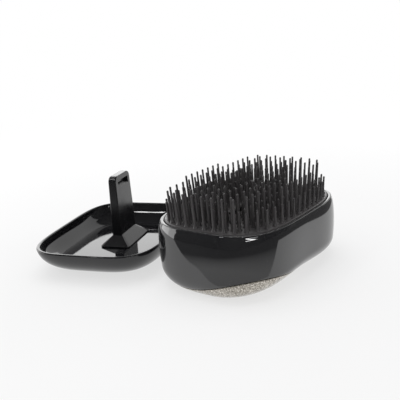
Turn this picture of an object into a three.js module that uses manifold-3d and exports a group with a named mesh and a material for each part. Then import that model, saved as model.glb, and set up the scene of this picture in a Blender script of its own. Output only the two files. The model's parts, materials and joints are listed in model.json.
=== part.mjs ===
// Compact hair brush with a clip-on cover, in millimetres, +Z up.
// The brush lies on its domed back with its teeth up. The cover has been pulled off and lies
// upside down beside it, so its clip tab stands up out of the dish.
// Origin: middle of the flat on the brush's back. +X: along the brush. +Y: towards the cover.
import * as THREE from 'three';
import { mergeVertices } from 'three/addons/utils/BufferGeometryUtils.js';
import Module from 'manifold-3d';

const wasm = await Module();
wasm.setup();

// Tooth pad: a plate with a rounded, four-sided outline
const PAD_HALF_LENGTH = 40.8;
const PAD_HALF_WIDTH = 29.9;
const PAD_SQUARENESS = 3.5;
const PAD_TOP = 30.9;
const PAD_THICKNESS = 2.4;

// Teeth: a ring of them along the pad's edge, and rows of long and short teeth by turns
const LONG_TOOTH = 15;
const SHORT_TOOTH = 8.6;
const TOOTH_FOOT_RADIUS = 1.05;
const TOOTH_TIP_RADIUS = 0.48;
const TOOTH_SIDES = 4;
const TOOTH_SINK = 0.6;
const TOOTH_FAN = THREE.MathUtils.degToRad(4.5);
const TOOTH_PITCH = 4.7;
const TOOTH_SPACE = 2.6;
const TOOTH_ROWS = 21;
const RING_INSET = 1.9;
const RING_TO_ROWS = 3.3;
const LONG_FROM = 0.93;
const TOOTH_KEEP_OFF = 2.6;

// Body: a smooth pebble form, split into a shell and a back panel along a wavy seam
const LIP_WIDTH = 1.2;
const LIP_DROP = 0.5;
const END_BULGE = 3.5;
const SIDE_BULGE = 2.4;
const WIDEST_HEIGHT = 10.5;
const UPPER_ROUNDNESS = 1.9;
const LOWER_ROUNDNESS = 2.3;
const BACK_FLAT_HALF_LENGTH = 35;
const BACK_FLAT_HALF_WIDTH = 11.4;
const BODY_SQUARENESS = 2.95;
const MIDDLE_WAIST = 0.05;
const LOW_WAIST = 0.17;
const WAIST_REACH = 25;
const WAIST_SHIFT = 4.2;
const SEAM_LOW = 3;
const SEAM_HIGH = 10.8;
const SEAM_SHARPNESS = 2.5;
const SHELL_WALL = 2;
const PANEL_WALL = 2.6;
const PANEL_LIP_WALL = 1.1;
const PANEL_LIP_HEIGHT = 2;
const PANEL_LIP_ROOT = 0.8;
const LEDGE_WIDTH = 3;
const LEDGE_THICKNESS = 1.8;

// Frame under the pad
const FRAME_THICKNESS = 2;
const FRAME_INSET = 0.5;
const LEG_RADIUS = 2.2;
const LEG_X = 21;
const LEG_Y = 3.6;

// Cover, lying on its domed outside
const COVER_HALF_LENGTH = 43.4;
const COVER_HALF_WIDTH = 32.6;
const COVER_HEIGHT = 14.4;
const COVER_ROUNDNESS = 2.1;
const COVER_FLAT_HALF_LENGTH = 19.8;
const COVER_FLAT_HALF_WIDTH = 17.2;
const COVER_SQUARENESS = 3.5;
const COVER_RIM_SQUARENESS = 4.3;
const COVER_WALL = 1.5;
const COVER_FLOOR_TOP = 4.8;
const COVER_PLACE = new THREE.Vector2(-16.5, 72.5);
const COVER_TURN = THREE.MathUtils.degToRad(19.4);

// Clip tab on the cover, with a sloping foot and a pocket near its free end
const TAB_X = 6.5;
const TAB_Y = 0;
const TAB_TOP = 41.8;
const TAB_FOOT_WIDTH = 19.6;
const TAB_END_WIDTH = 17.8;
const TAB_FOOT_THICKNESS = 5.4;
const TAB_END_THICKNESS = 4.2;
const TAB_CORNER = 3;
const FOOT_LENGTH = 29.5;
const FOOT_BREADTH = 16.3;
const FOOT_HEIGHT = 5.7;
const FOOT_EDGE = 0.4;
const POCKET_WIDTH = 12.4;
const POCKET_HEIGHT = 3.6;
const POCKET_DEPTH = 2;
const POCKET_FROM_END = 2.6;

// Socket and catch that hold the tab when the brush is closed
const TAB_CLEARANCE = 0.35;
const SOCKET_WALL = 1.2;
const SOCKET_FLANGE = 2.2;
const SOCKET_BOTTOM = 3.4;
const CATCH_WIDTH = 7;
const CATCH_THICKNESS = 1.2;
const CATCH_TOP = 22.6;
const CATCH_BELOW_NOSE = 1.4;
const NOSE_REACH = 1.1;
const NOSE_HEIGHT = 2.8;
const NOSE_FLAT = 0.8;

// Gap between pieces that rest on each other
const GAP = 0.3;

// Fineness of the curved forms
const OUTLINE_STEPS = 48;
const LOWER_RINGS = 6;
const UPPER_RINGS = 4;
const COVER_RINGS = 6;

// Heights and sizes that follow from the ones above
const LIP_TOP = PAD_TOP - LIP_DROP;
const PAD_BOTTOM = PAD_TOP - PAD_THICKNESS;
const FRAME_TOP = PAD_BOTTOM - GAP;
const FRAME_BOTTOM = FRAME_TOP - FRAME_THICKNESS;
const LEDGE_TOP = FRAME_BOTTOM - GAP;
const COVER_FLOOR_BOTTOM = COVER_WALL + GAP;
const TAB_BOTTOM = COVER_FLOOR_TOP + GAP;
const SLOT = slotAtTheRim();

// Turned over and pressed on, the cover's rim sits on the lip, so a height h in the cover
// comes to LIP_TOP - (h - COVER_HEIGHT) in the brush, and x changes its sign.
const SLOT_X = -TAB_X;
const SLOT_Y = TAB_Y;
const SHELF_HEIGHT = LIP_TOP - (TAB_TOP - POCKET_FROM_END - COVER_HEIGHT);
const NOSE_BOTTOM = SHELF_HEIGHT + GAP;

// The hole that the tab needs: its section where it leaves the cover's rim, plus a clearance.
function slotAtTheRim() {
  const part = (COVER_HEIGHT - TAB_BOTTOM) / (TAB_TOP - TAB_BOTTOM);
  const width = THREE.MathUtils.lerp(TAB_FOOT_WIDTH, TAB_END_WIDTH, part);
  const thickness = THREE.MathUtils.lerp(TAB_FOOT_THICKNESS, TAB_END_THICKNESS, part);
  return { length: width + 2 * TAB_CLEARANCE, width: thickness + 2 * TAB_CLEARANCE };
}

// A closed three.js geometry as a solid that can be cut and joined.
function solid(geometry) {
  const bare = geometry.index ? geometry.clone() : mergeVertices(geometry.clone());
  bare.deleteAttribute('normal');
  bare.deleteAttribute('uv');
  const merged = mergeVertices(bare, 1e-4);
  const vertProperties = new Float32Array(merged.attributes.position.array);
  const triVerts = new Uint32Array(merged.index.array);
  return new wasm.Manifold(new wasm.Mesh({ numProp: 3, vertProperties, triVerts }));
}

// A solid back as a three.js geometry.
function geometryOf(body) {
  const mesh = body.getMesh();
  const geometry = new THREE.BufferGeometry();
  geometry.setAttribute('position', new THREE.BufferAttribute(mesh.vertProperties, 3));
  geometry.setIndex(new THREE.BufferAttribute(mesh.triVerts, 1));
  return geometry;
}

// A point of a rounded four-sided outline, at an angle given in a full turn.
// The waist draws the long sides in, each a little to the other side of the middle.
function outlinePoint(angle, { halfLength, halfWidth, squareness, waist = 0 }) {
  const c = Math.cos(angle);
  const s = Math.sin(angle);
  const reach = (Math.abs(c) ** squareness + Math.abs(s) ** squareness) ** (-1 / squareness);
  const x = halfLength * c * reach;
  const along = (x - Math.sign(s) * WAIST_SHIFT) / WAIST_REACH;
  const y = halfWidth * s * reach * (1 - waist * Math.exp(-(along ** 2)));
  return new THREE.Vector2(x, y);
}

// One closed ring of points at a height, which may be a number or a function of the angle.
function ring(shape, height) {
  const points = [];
  for (let i = 0; i < OUTLINE_STEPS; i += 1) {
    const angle = (i / OUTLINE_STEPS) * 2 * Math.PI;
    const flat = outlinePoint(angle, shape);
    const z = typeof height === 'function' ? height(angle) : height;
    points.push(new THREE.Vector3(flat.x, flat.y, z));
  }
  return points;
}

// A closed body through rings from the bottom up, with a flat or fanned cap at each end.
function loft(rings) {
  const positions = [];
  const index = [];
  for (const points of rings) for (const p of points) positions.push(p.x, p.y, p.z);
  const count = OUTLINE_STEPS;
  for (let r = 0; r + 1 < rings.length; r += 1) {
    for (let i = 0; i < count; i += 1) {
      const a = r * count + i;
      const b = r * count + ((i + 1) % count);
      index.push(a, b, b + count, a, b + count, a + count);
    }
  }
  const capCentre = (points) => {
    const mean = points.reduce((sum, p) => sum + p.z, 0) / count;
    positions.push(0, 0, mean);
    return positions.length / 3 - 1;
  };
  const bottom = capCentre(rings[0]);
  const top = capCentre(rings[rings.length - 1]);
  const last = (rings.length - 1) * count;
  for (let i = 0; i < count; i += 1) {
    const next = (i + 1) % count;
    index.push(bottom, next, i, top, last + i, last + next);
  }
  const geometry = new THREE.BufferGeometry();
  geometry.setAttribute('position', new THREE.Float32BufferAttribute(positions, 3));
  geometry.setIndex(index);
  return solid(geometry);
}

// A straight prism over an outline.
function prism(shape, low, high) {
  return loft([ring(shape, low), ring(shape, high)]);
}

// A box between two heights, centred on x and y.
function block(length, width, low, high, x = 0, y = 0) {
  const geometry = new THREE.BoxGeometry(length, width, high - low);
  return solid(geometry.translate(x, y, (low + high) / 2));
}

// A block whose end differs in length and width from its foot.
function taperedBlock(foot, end, low, high, x, y) {
  const geometry = new THREE.BoxGeometry(1, 1, high - low);
  const corners = geometry.attributes.position;
  for (let i = 0; i < corners.count; i += 1) {
    const size = corners.getZ(i) < 0 ? foot : end;
    corners.setXY(i, corners.getX(i) * size.length, corners.getY(i) * size.width);
  }
  return solid(geometry.translate(x, y, (low + high) / 2));
}

// A shape drawn in the Y-Z plane and drawn out along X, centred on x.
function alongX(points, length, x) {
  const shape = new THREE.Shape(points.map(([y, z]) => new THREE.Vector2(y, z)));
  const geometry = new THREE.ExtrudeGeometry(shape, { depth: length, bevelEnabled: false });
  const turn = new THREE.Matrix4().set(0, 0, 1, 0, 1, 0, 0, 0, 0, 1, 0, 0, 0, 0, 0, 1);
  return solid(geometry.applyMatrix4(turn).translate(x - length / 2, 0, 0));
}

// The quarter of a rounded square that carries a form from its flat, 0, to its widest, 1.
function swell(fraction, roundness) {
  return (1 - Math.min(1, fraction) ** roundness) ** (1 / roundness);
}

// The body's outline at a height, moved in from the outer face by an inset.
function bodyShape(height, inset) {
  const lipLength = PAD_HALF_LENGTH + LIP_WIDTH;
  const lipWidth = PAD_HALF_WIDTH + LIP_WIDTH;
  if (height < WIDEST_HEIGHT) {
    const down = (WIDEST_HEIGHT - height) / (WIDEST_HEIGHT - inset);
    const part = swell(down, LOWER_ROUNDNESS);
    const { lerp } = THREE.MathUtils;
    return {
      halfLength: lerp(BACK_FLAT_HALF_LENGTH, lipLength + END_BULGE, part) - inset,
      halfWidth: lerp(BACK_FLAT_HALF_WIDTH, lipWidth + SIDE_BULGE, part) - inset,
      squareness: BODY_SQUARENESS,
      waist: lerp(MIDDLE_WAIST, LOW_WAIST, down),
    };
  }
  const up = Math.min(1, (height - WIDEST_HEIGHT) / (LIP_TOP - WIDEST_HEIGHT));
  const part = swell(up, UPPER_ROUNDNESS);
  return {
    halfLength: lipLength + END_BULGE * part - inset,
    halfWidth: lipWidth + SIDE_BULGE * part - inset,
    squareness: THREE.MathUtils.lerp(BODY_SQUARENESS, PAD_SQUARENESS, up),
    waist: MIDDLE_WAIST * (1 - up),
  };
}

// The whole body's form, moved in by an inset; a form that is moved in ends at a stated height.
function bodyForm(inset = 0, top = LIP_TOP) {
  const rings = [];
  for (let i = 0; i <= LOWER_RINGS; i += 1) {
    const height = inset + (WIDEST_HEIGHT - inset) * (i / LOWER_RINGS) ** 1.6;
    rings.push(ring(bodyShape(height, inset), height));
  }
  for (let i = 1; i <= UPPER_RINGS; i += 1) {
    const height = WIDEST_HEIGHT + (top - WIDEST_HEIGHT) * Math.sin((i / UPPER_RINGS) * (Math.PI / 2));
    rings.push(ring(bodyShape(height, inset), height));
  }
  return loft(rings);
}

// Everything below the wavy seam, raised or lowered by a step. The seam is high at two opposite
// corners and low at the other two.
function belowSeam(step) {
  const seam = (angle) => {
    const rise = ((1 + Math.sin(2 * angle)) / 2) ** SEAM_SHARPNESS;
    return step + THREE.MathUtils.lerp(SEAM_LOW, SEAM_HIGH, rise);
  };
  const wide = {
    halfLength: 1.3 * PAD_HALF_LENGTH,
    halfWidth: 1.3 * PAD_HALF_WIDTH,
    squareness: BODY_SQUARENESS,
  };
  const narrow = { ...wide, halfLength: PAD_HALF_LENGTH / 2, halfWidth: PAD_HALF_WIDTH / 2 };
  return loft([ring(wide, -WIDEST_HEIGHT), ring(wide, seam), ring(narrow, seam)]);
}

const padOutline = {
  halfLength: PAD_HALF_LENGTH,
  halfWidth: PAD_HALF_WIDTH,
  squareness: PAD_SQUARENESS,
};

// An outline moved in all round.
function inset(shape, amount) {
  return {
    ...shape,
    halfLength: shape.halfLength - amount,
    halfWidth: shape.halfWidth - amount,
  };
}

function makeBodyShell() {
  const hollow = bodyForm(SHELL_WALL, LEDGE_TOP);
  const padSeat = prism(inset(padOutline, -GAP), LEDGE_TOP, PAD_TOP);
  const inside = bodyShape(LEDGE_TOP, SHELL_WALL);
  const ledgeBottom = LEDGE_TOP - LEDGE_THICKNESS;
  const ledge = prism(inset(inside, -SHELL_WALL / 2), ledgeBottom, LEDGE_TOP)
    .subtract(prism(inset(inside, LEDGE_WIDTH), ledgeBottom - GAP, PAD_TOP));
  return bodyForm().subtract(hollow).add(ledge).subtract(padSeat).subtract(belowSeam(GAP / 2));
}

function makeBackPanel() {
  const dish = bodyForm().intersect(belowSeam(-GAP / 2)).subtract(bodyForm(PANEL_WALL));
  const lipOutside = SHELL_WALL + GAP;
  const lipInside = lipOutside + PANEL_LIP_WALL;
  const lip = bodyForm(lipOutside, LEDGE_TOP - LEDGE_THICKNESS - GAP)
    .intersect(belowSeam(PANEL_LIP_HEIGHT))
    .subtract(bodyForm(lipInside))
    .subtract(prism(bodyShape(lipInside, lipInside), PANEL_WALL, lipInside + GAP))
    .subtract(belowSeam(-PANEL_LIP_ROOT));
  return dish.add(lip);
}

function makeInnerFrame() {
  let frame = prism(inset(padOutline, FRAME_INSET), FRAME_BOTTOM, FRAME_TOP)
    .subtract(block(SLOT.length, SLOT.width, 0, PAD_TOP, SLOT_X, SLOT_Y));
  const legBottom = PANEL_WALL + GAP;
  const legHeight = FRAME_TOP - GAP - legBottom;
  for (const x of [-LEG_X, LEG_X]) {
    for (const y of [-LEG_Y, LEG_Y]) {
      const leg = new THREE.CylinderGeometry(LEG_RADIUS, LEG_RADIUS, legHeight, 12);
      leg.rotateX(Math.PI / 2).translate(x, y, legBottom + legHeight / 2);
      frame = frame.add(solid(leg));
    }
  }
  return frame;
}

// The ring of teeth and the rows inside it. Rows run along the brush, a pitch apart.
const toothRing = inset(padOutline, RING_INSET);
const rowField = inset(toothRing, RING_TO_ROWS);
const rowPitch = (2 * toothRing.halfWidth) / (TOOTH_ROWS - 1);
const rowAt = (row) => row * rowPitch - toothRing.halfWidth;

// The slot in the pad, and a line between two rows of teeth on either side of it.
const slot = {
  left: SLOT_X - SLOT.length / 2,
  right: SLOT_X + SLOT.length / 2,
  front: SLOT_Y - SLOT.width / 2,
  rear: SLOT_Y + SLOT.width / 2,
};
const cut = {
  front: rowAt(Math.floor((slot.front + toothRing.halfWidth) / rowPitch - 0.5) + 0.5),
  rear: rowAt(Math.ceil((slot.rear + toothRing.halfWidth) / rowPitch - 0.5) + 0.5),
};

function clearOfSlot({ x, y }) {
  return Math.abs(x - SLOT_X) > SLOT.length / 2 + TOOTH_KEEP_OFF ||
    Math.abs(y - SLOT_Y) > SLOT.width / 2 + TOOTH_KEEP_OFF;
}

// A height across the pad, moved off a cut line where a tooth's foot would stand on the line.
function offCutLines(y) {
  const reach = TOOTH_FOOT_RADIUS + GAP;
  for (const line of [cut.front, cut.rear]) {
    if (Math.abs(y - line) < reach) return y < line ? line - reach : line + reach;
  }
  return y;
}

// The ring's teeth are a pitch apart, long at the brush's two ends and short along its sides.
function ringPlaces() {
  const walk = [];
  const steps = 1440;
  let length = 0;
  for (let i = 0; i <= steps; i += 1) {
    const point = outlinePoint((i / steps) * 2 * Math.PI, toothRing);
    if (i > 0) length += point.distanceTo(walk[i - 1].point);
    walk.push({ point, length });
  }
  const count = 4 * Math.round(length / TOOTH_PITCH / 4);
  return Array.from({ length: count }, (_, i) => {
    const { point } = walk.find((stop) => stop.length >= ((i + 0.5) / count) * length);
    const long = Math.abs(point.x) > LONG_FROM * toothRing.halfLength;
    return { x: point.x, y: offCutLines(point.y), long };
  });
}

// A row's teeth, spread evenly to its ends. Short rows stand half a pitch off the long rows.
function rowPlaces(row) {
  const y = rowAt(row);
  const long = row % 2 === 1;
  const part = (Math.abs(y) / (toothRing.halfWidth - rowPitch / 2)) ** PAD_SQUARENESS;
  const end = rowField.halfLength * (1 - part) ** (1 / PAD_SQUARENESS);
  const shift = long ? 0 : 0.5;
  const last = Math.round(end / TOOTH_PITCH - shift) + shift;
  const places = [];
  for (let i = -last; i <= last; i += 1) places.push({ x: (i / last) * end, y, long });
  return places;
}

// All the teeth. A row's tooth that would stand too near one of the ring is left out.
function toothPlaces() {
  const around = ringPlaces();
  const clearOfRing = (a) => around.every((b) => Math.hypot(a.x - b.x, a.y - b.y) > TOOTH_SPACE);
  const places = [...around];
  for (let row = 1; row < TOOTH_ROWS - 1; row += 1) places.push(...rowPlaces(row).filter(clearOfRing));
  return places.filter(clearOfSlot);
}

// Leaning teeth at the given places, as one mesh.
function makeTeeth(places) {
  const positions = [];
  const index = [];
  for (const { x, y, long } of places) {
    const height = (long ? LONG_TOOTH : SHORT_TOOTH) + TOOTH_SINK;
    const tooth = new THREE.CylinderGeometry(TOOTH_TIP_RADIUS, TOOTH_FOOT_RADIUS, height, TOOTH_SIDES);
    tooth.deleteAttribute('normal');
    tooth.deleteAttribute('uv');
    const merged = mergeVertices(tooth);
    merged.translate(0, height / 2, 0).rotateX(Math.PI / 2);
    merged.rotateY(TOOTH_FAN * (x / PAD_HALF_LENGTH)).rotateX(-TOOTH_FAN * (y / PAD_HALF_WIDTH));
    merged.translate(x, y, PAD_TOP - TOOTH_SINK);
    const first = positions.length / 3;
    positions.push(...merged.attributes.position.array);
    for (const corner of merged.index.array) index.push(first + corner);
  }
  const teeth = new THREE.BufferGeometry();
  teeth.setAttribute('position', new THREE.Float32BufferAttribute(positions, 3));
  teeth.setIndex(index);
  return solid(teeth);
}

// The pad is one moulding on the real brush. Here it is four slices round the slot, a gap apart,
// so that each slice with its teeth is a plain convex lump and the slot stays open between them.
const far = 2 * PAD_HALF_LENGTH;
const toothPads = {
  tooth_pad_front: {
    rooms: [
      [-far, far, -far, cut.front - GAP / 2],
      [slot.left, slot.right, cut.front - GAP, slot.front],
    ],
    holds: ({ y }) => y < cut.front,
  },
  tooth_pad_rear: {
    rooms: [
      [-far, far, cut.rear + GAP / 2, far],
      [slot.left, slot.right, slot.rear, cut.rear + GAP],
    ],
    holds: ({ y }) => y > cut.rear,
  },
  tooth_pad_end: {
    rooms: [[-far, slot.left - GAP, cut.front + GAP / 2, cut.rear - GAP / 2]],
    holds: ({ x, y }) => y > cut.front && y < cut.rear && x < SLOT_X,
  },
  tooth_pad_middle: {
    rooms: [[slot.right + GAP, far, cut.front + GAP / 2, cut.rear - GAP / 2]],
    holds: ({ x, y }) => y > cut.front && y < cut.rear && x > SLOT_X,
  },
};

function makeToothPad({ rooms, holds }) {
  const [first, ...others] = rooms.map(([left, right, front, rear]) =>
    block(right - left, rear - front, 0, 2 * PAD_TOP, (left + right) / 2, (front + rear) / 2));
  const room = others.reduce((sum, next) => sum.add(next), first);
  return prism(padOutline, PAD_BOTTOM, PAD_TOP)
    .intersect(room)
    .add(makeTeeth(toothPlaces().filter(holds)));
}

// The window in the socket's wall that the catch works in.
const catchWindow = {
  low: NOSE_BOTTOM - CATCH_BELOW_NOSE - GAP,
  high: CATCH_TOP + GAP,
  wallOutside: SLOT_Y - SLOT.width / 2 - SOCKET_WALL,
};

function makeTabSocket() {
  const top = FRAME_BOTTOM - GAP;
  const length = SLOT.length + 2 * SOCKET_WALL;
  const width = SLOT.width + 2 * SOCKET_WALL;
  const flangeBottom = top - SOCKET_WALL;
  return block(length, width, SOCKET_BOTTOM, top, SLOT_X, SLOT_Y)
    .add(block(length, width + 2 * SOCKET_FLANGE, flangeBottom, top, SLOT_X, SLOT_Y))
    .subtract(block(SLOT.length, SLOT.width, 0, PAD_TOP, SLOT_X, SLOT_Y))
    .subtract(block(CATCH_WIDTH + 2 * GAP, 2 * SOCKET_WALL, catchWindow.low, catchWindow.high,
      SLOT_X, catchWindow.wallOutside));
}

function makeCatchTongue() {
  const back = SLOT_Y - SLOT.width / 2 - CATCH_THICKNESS;
  const front = back + CATCH_THICKNESS;
  const nose = front + NOSE_REACH;
  return alongX([
    [back, NOSE_BOTTOM - CATCH_BELOW_NOSE],
    [front, NOSE_BOTTOM - CATCH_BELOW_NOSE],
    [front, NOSE_BOTTOM],
    [nose, NOSE_BOTTOM],
    [nose, NOSE_BOTTOM + NOSE_FLAT],
    [front, NOSE_BOTTOM + NOSE_HEIGHT],
    [front, CATCH_TOP],
    [back, CATCH_TOP],
  ], CATCH_WIDTH, SLOT_X);
}

// The cover's outline at a height, moved in from the outer face by an inset.
function coverShape(height, amount) {
  const down = Math.max(0, (COVER_HEIGHT - height) / (COVER_HEIGHT - amount));
  const part = swell(down, COVER_ROUNDNESS);
  const { lerp } = THREE.MathUtils;
  return {
    halfLength: lerp(COVER_FLAT_HALF_LENGTH, COVER_HALF_LENGTH, part) - amount,
    halfWidth: lerp(COVER_FLAT_HALF_WIDTH, COVER_HALF_WIDTH, part) - amount,
    squareness: lerp(COVER_RIM_SQUARENESS, COVER_SQUARENESS, down),
  };
}

function coverForm(amount = 0) {
  const rings = [];
  for (let i = 0; i <= COVER_RINGS; i += 1) {
    const height = amount + (COVER_HEIGHT - amount) * (i / COVER_RINGS) ** 1.6;
    rings.push(ring(coverShape(height, amount), height));
  }
  if (amount > 0) rings.push(ring(coverShape(COVER_HEIGHT, amount), COVER_HEIGHT + amount));
  return loft(rings);
}

function makeCoverShell() {
  return coverForm().subtract(coverForm(COVER_WALL));
}

function makeCoverFloor() {
  const fit = coverForm(COVER_WALL + GAP);
  return fit.intersect(block(2 * COVER_HALF_LENGTH, 2 * COVER_HALF_WIDTH,
    COVER_FLOOR_BOTTOM, COVER_FLOOR_TOP));
}

// The tab's foot: a low upright edge, then four slopes that run up into the tab.
function makeTabFoot() {
  const edgeTop = TAB_BOTTOM + FOOT_EDGE;
  const foot = { length: FOOT_LENGTH, width: FOOT_BREADTH };
  const end = { length: TAB_END_WIDTH, width: TAB_END_THICKNESS };
  return block(FOOT_LENGTH, FOOT_BREADTH, TAB_BOTTOM, edgeTop, TAB_X, TAB_Y)
    .add(taperedBlock(foot, end, edgeTop, TAB_BOTTOM + FOOT_HEIGHT, TAB_X, TAB_Y));
}

// The tab is drawn from the front and from the side, and is what the two have in common.
function makeCoverTab() {
  const half = TAB_FOOT_WIDTH / 2;
  const endHalf = TAB_END_WIDTH / 2;
  const front = new THREE.Shape();
  front.moveTo(-half, TAB_BOTTOM);
  front.lineTo(half, TAB_BOTTOM);
  front.lineTo(endHalf, TAB_TOP - TAB_CORNER);
  front.quadraticCurveTo(endHalf, TAB_TOP, endHalf - TAB_CORNER, TAB_TOP);
  front.lineTo(TAB_CORNER - endHalf, TAB_TOP);
  front.quadraticCurveTo(-endHalf, TAB_TOP, -endHalf, TAB_TOP - TAB_CORNER);
  const depth = 2 * TAB_FOOT_THICKNESS;
  const plate = new THREE.ExtrudeGeometry(front, { depth, bevelEnabled: false, curveSegments: 5 });
  plate.rotateX(Math.PI / 2).translate(TAB_X, TAB_Y + depth / 2, 0);
  const footHalf = TAB_FOOT_THICKNESS / 2;
  const topHalf = TAB_END_THICKNESS / 2;
  const side = alongX([
    [TAB_Y - footHalf, TAB_BOTTOM - GAP],
    [TAB_Y + footHalf, TAB_BOTTOM - GAP],
    [TAB_Y + topHalf, TAB_TOP + GAP],
    [TAB_Y - topHalf, TAB_TOP + GAP],
  ], 2 * TAB_FOOT_WIDTH, TAB_X);
  const face = TAB_Y - topHalf;
  const pocketTop = TAB_TOP - POCKET_FROM_END;
  const pocket = alongX([
    [face - TAB_FOOT_THICKNESS, pocketTop],
    [face - TAB_FOOT_THICKNESS, pocketTop - POCKET_HEIGHT],
    [face, pocketTop - POCKET_HEIGHT],
    [face + POCKET_DEPTH, pocketTop - POCKET_HEIGHT / 2],
    [face + POCKET_DEPTH, pocketTop],
  ], POCKET_WIDTH, TAB_X);
  return solid(plate).intersect(side).subtract(pocket).add(makeTabFoot());
}

// A named piece with its own finish.
function piece(name, body, color, roughness) {
  const finish = new THREE.MeshStandardMaterial({ color, roughness, metalness: 0 });
  const mesh = new THREE.Mesh(geometryOf(body), finish);
  mesh.name = name;
  return mesh;
}

const brush = new THREE.Group();
brush.add(
  piece('body_shell', makeBodyShell(), 0x0b0b0c, 0.12),
  piece('back_panel', makeBackPanel(), 0xb3a287, 0.35),
  piece('inner_frame', makeInnerFrame(), 0x151516, 0.6),
  ...Object.entries(toothPads).map(([name, slice]) => piece(name, makeToothPad(slice), 0x19191a, 0.5)),
  piece('tab_socket', makeTabSocket(), 0x151516, 0.6),
  piece('catch_tongue', makeCatchTongue(), 0x202021, 0.5),
);

const cover = new THREE.Group();
cover.position.set(COVER_PLACE.x, COVER_PLACE.y, 0);
cover.rotation.z = COVER_TURN;
cover.add(
  piece('cover_shell', makeCoverShell(), 0x0b0b0c, 0.12),
  piece('cover_floor', makeCoverFloor(), 0x0e0e0f, 0.15),
  piece('cover_tab', makeCoverTab(), 0x1c1c1d, 0.4),
);

const part = new THREE.Group();
part.add(brush, cover);

export default part;
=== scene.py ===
# %% [markdown]
# # A palm-sized hair brush and its clip-on cover
#
# The brush lies on its domed back with its teeth up. Its cover has been pulled off and lies
# upside down beside it. The frame below holds the measured solids, and each cell after it
# makes one piece or one finish over them, in metres.

# %% Load the frame
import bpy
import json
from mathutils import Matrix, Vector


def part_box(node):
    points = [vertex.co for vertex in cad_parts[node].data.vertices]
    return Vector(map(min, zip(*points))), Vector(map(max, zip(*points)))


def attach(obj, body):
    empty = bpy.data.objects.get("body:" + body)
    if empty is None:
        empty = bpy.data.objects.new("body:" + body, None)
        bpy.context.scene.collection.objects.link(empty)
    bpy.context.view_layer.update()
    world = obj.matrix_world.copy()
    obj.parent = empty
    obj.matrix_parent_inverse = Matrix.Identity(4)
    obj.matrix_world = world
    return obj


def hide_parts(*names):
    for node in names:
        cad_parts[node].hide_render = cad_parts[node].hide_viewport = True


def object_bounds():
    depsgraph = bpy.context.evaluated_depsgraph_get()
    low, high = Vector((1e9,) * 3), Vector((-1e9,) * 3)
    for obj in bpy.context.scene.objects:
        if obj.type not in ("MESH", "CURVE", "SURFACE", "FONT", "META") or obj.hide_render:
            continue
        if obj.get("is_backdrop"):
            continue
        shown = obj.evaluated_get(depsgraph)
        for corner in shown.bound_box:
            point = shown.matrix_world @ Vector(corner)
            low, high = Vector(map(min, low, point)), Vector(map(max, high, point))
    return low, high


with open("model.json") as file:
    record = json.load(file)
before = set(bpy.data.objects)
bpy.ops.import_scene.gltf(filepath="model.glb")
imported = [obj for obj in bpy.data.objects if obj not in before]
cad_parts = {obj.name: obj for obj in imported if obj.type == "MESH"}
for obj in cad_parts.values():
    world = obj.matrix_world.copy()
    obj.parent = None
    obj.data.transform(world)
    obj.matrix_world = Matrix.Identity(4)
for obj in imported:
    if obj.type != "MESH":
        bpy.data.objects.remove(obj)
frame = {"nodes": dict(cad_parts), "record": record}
cad_box = [list(corner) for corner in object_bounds()]

import json
from math import atan2, copysign, cos, exp, pi, radians, sin

import bmesh
import bpy
from mathutils import Matrix, Vector

nodes = frame["nodes"]
print("pieces in the frame:", sorted(nodes))

# %% [markdown]
# ## The camera
#
# The photograph was taken from above the brush's end, a little to one side, with the camera
# rolled by four degrees. A lens of 54 mm on a 36 mm sensor gives the perspective that the
# two rims show. An empty with a Track To constraint could aim the camera, but by itself that
# keeps the camera level. So the picture's right and up axes are turned round the line of
# sight, and the camera gets them as its own.

# %% Camera
CAMERA_PLACE = Vector((-0.2304, -0.1500, 0.1149))
LINE_OF_SIGHT = Vector((0.7578, 0.5890, -0.2807)).normalized()
CAMERA_ROLL = radians(4.105)
LENS = 54
SENSOR_WIDTH = 36
CLIP_START = 0.01
SUBJECT_DISTANCE = 0.3

level_right = LINE_OF_SIGHT.cross(Vector((0, 0, 1))).normalized()
level_up = level_right.cross(LINE_OF_SIGHT)
picture_right = cos(CAMERA_ROLL) * level_right - sin(CAMERA_ROLL) * level_up
picture_up = sin(CAMERA_ROLL) * level_right + cos(CAMERA_ROLL) * level_up
turn = Matrix((picture_right, picture_up, -LINE_OF_SIGHT)).transposed()


def add_object(name, data):
    """Puts a new object with this data into the scene."""
    made = bpy.data.objects.new(name, data)
    bpy.context.scene.collection.objects.link(made)
    return made


camera = add_object("camera", bpy.data.cameras.new("camera"))
camera.data.lens = LENS
camera.data.sensor_width = SENSOR_WIDTH
camera.data.clip_start = CLIP_START
camera.matrix_world = Matrix.Translation(CAMERA_PLACE) @ turn.to_4x4()
bpy.context.scene.camera = camera
subject = CAMERA_PLACE + SUBJECT_DISTANCE * LINE_OF_SIGHT
print("camera looks at", [round(c, 3) for c in subject])

# %% [markdown]
# ## The outline
#
# Both halves of the brush have the same kind of outline, four-sided with soft corners.
# Straight lines with arcs at the corners could draw it, but the real one has no straight
# part. A superellipse draws it with one number for how square its corners are, so a ring of
# points can be put at any height. Sizes are in millimetres and turned into metres once.

# %% The outline
MM = 0.001
WAIST_REACH = 25 * MM
WAIST_SHIFT = 4.2 * MM


def in_mm(lengths):
    """Lengths in millimetres with one decimal, to be printed."""
    return [round(length / MM, 1) for length in lengths]


def mix(a, b, part):
    return a + (b - a) * part


def outline(angle, half_length, half_width, squareness, waist=0.0):
    """A point of the rounded outline. The waist draws the two long sides in."""
    c, s = cos(angle), sin(angle)
    reach = (abs(c) ** squareness + abs(s) ** squareness) ** (-1 / squareness)
    x = half_length * c * reach
    along = (x - copysign(WAIST_SHIFT, s)) / WAIST_REACH
    y = half_width * s * reach * (1 - waist * exp(-(along ** 2)))
    return x, y


def swell(part, roundness):
    """The quarter of a rounded square, from the widest at 0 to the flat at 1."""
    return (1 - min(1.0, part) ** roundness) ** (1 / roundness)


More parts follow.
